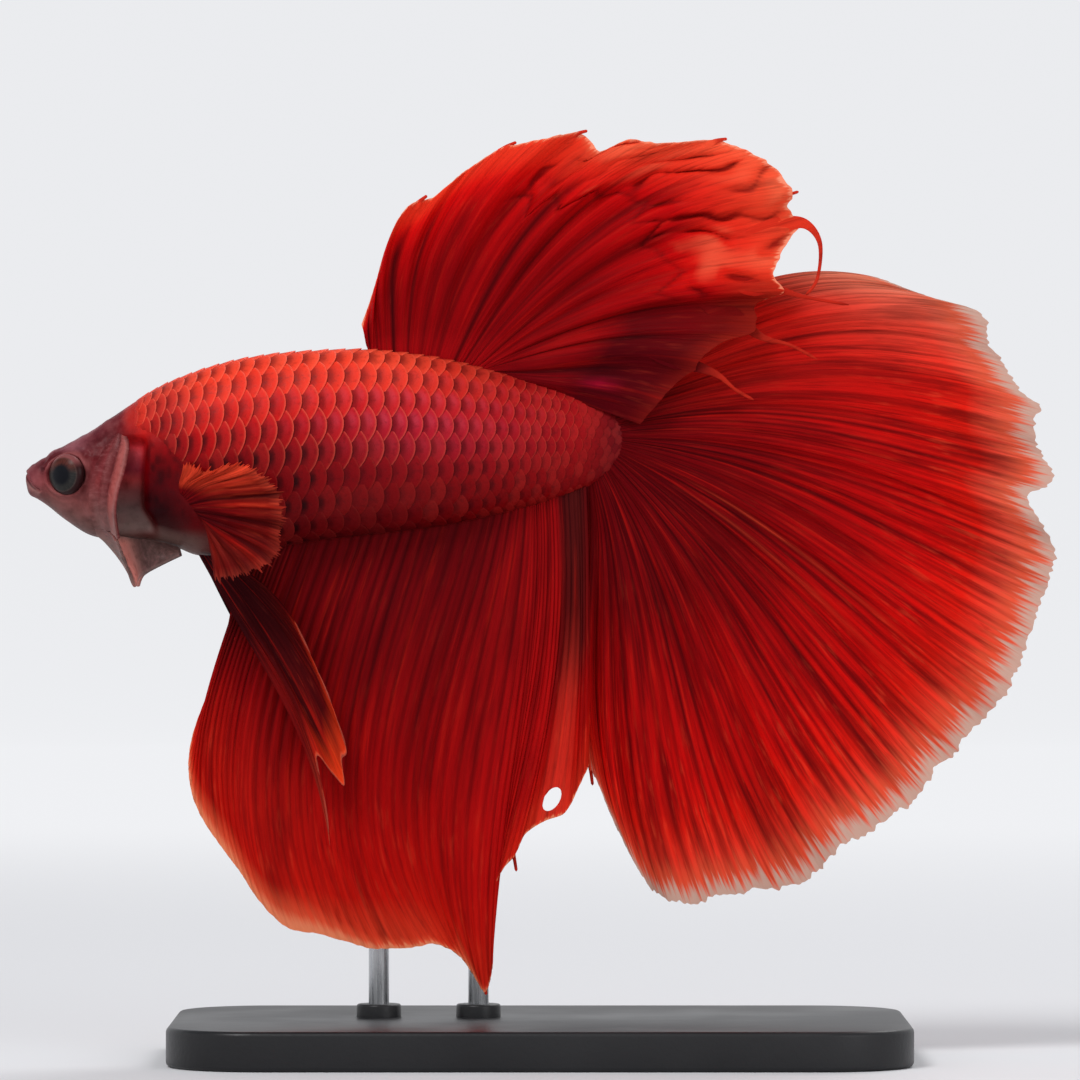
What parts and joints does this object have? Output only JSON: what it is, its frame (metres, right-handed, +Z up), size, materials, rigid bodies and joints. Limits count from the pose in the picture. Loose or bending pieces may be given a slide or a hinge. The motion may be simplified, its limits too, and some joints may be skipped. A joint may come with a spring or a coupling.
{
  "type": "betta fish",
  "caption": "Life-size red halfmoon betta, fins spread and gill covers flared, held on thin rods above a low display base.",
  "frame": {"origin": "centre of the display base's underside, on the floor", "axes": "+Z up; the fish faces -X, its tail towards +X; its left flank faces -Y"},
  "size_m": [0.0784, 0.034, 0.0703],
  "materials": {
    "body_skin": "scaled skin, orange-red on the back to dark crimson below, satin sheen",
    "head_skin": "smooth mauve-grey to pink skin, satin",
    "gill_skin": "pale pinkish skin, satin",
    "throat_membrane": "thin grey-pink membrane, satin",
    "eye": "clear glossy cornea over a dark blue-grey eye",
    "fin": "thin rayed membrane, deep red with a pale frayed margin",
    "pectoral_fin": "thin rayed membrane, orange-red with whitish tips",
    "pelvic_fin": "thin rayed membrane, dark maroon with orange tips",
    "stand_base": "satin black",
    "stand_rod": "fine brushed"
  },
  "bodies": {
    "root": {"head": "head_skin", "lower_jaw": "head_skin", "trunk": "body_skin", "tail_stalk": "body_skin", "eye_left": "eye", "eye_right": "eye", "gill_cover_left": "gill_skin", "gill_cover_right": "gill_skin", "gill_beard_left": "throat_membrane", "gill_beard_right": "throat_membrane", "dorsal_fin": "fin", "caudal_fin": "fin", "anal_fin": "fin", "pectoral_fin_left": "pectoral_fin", "pectoral_fin_right": "pectoral_fin", "pelvic_fin_left": "pelvic_fin", "pelvic_fin_right": "pelvic_fin", "stand_base": "stand_base", "stand_rod_front": "stand_rod", "stand_rod_rear": "stand_rod"}
  },
  "joints": []
}
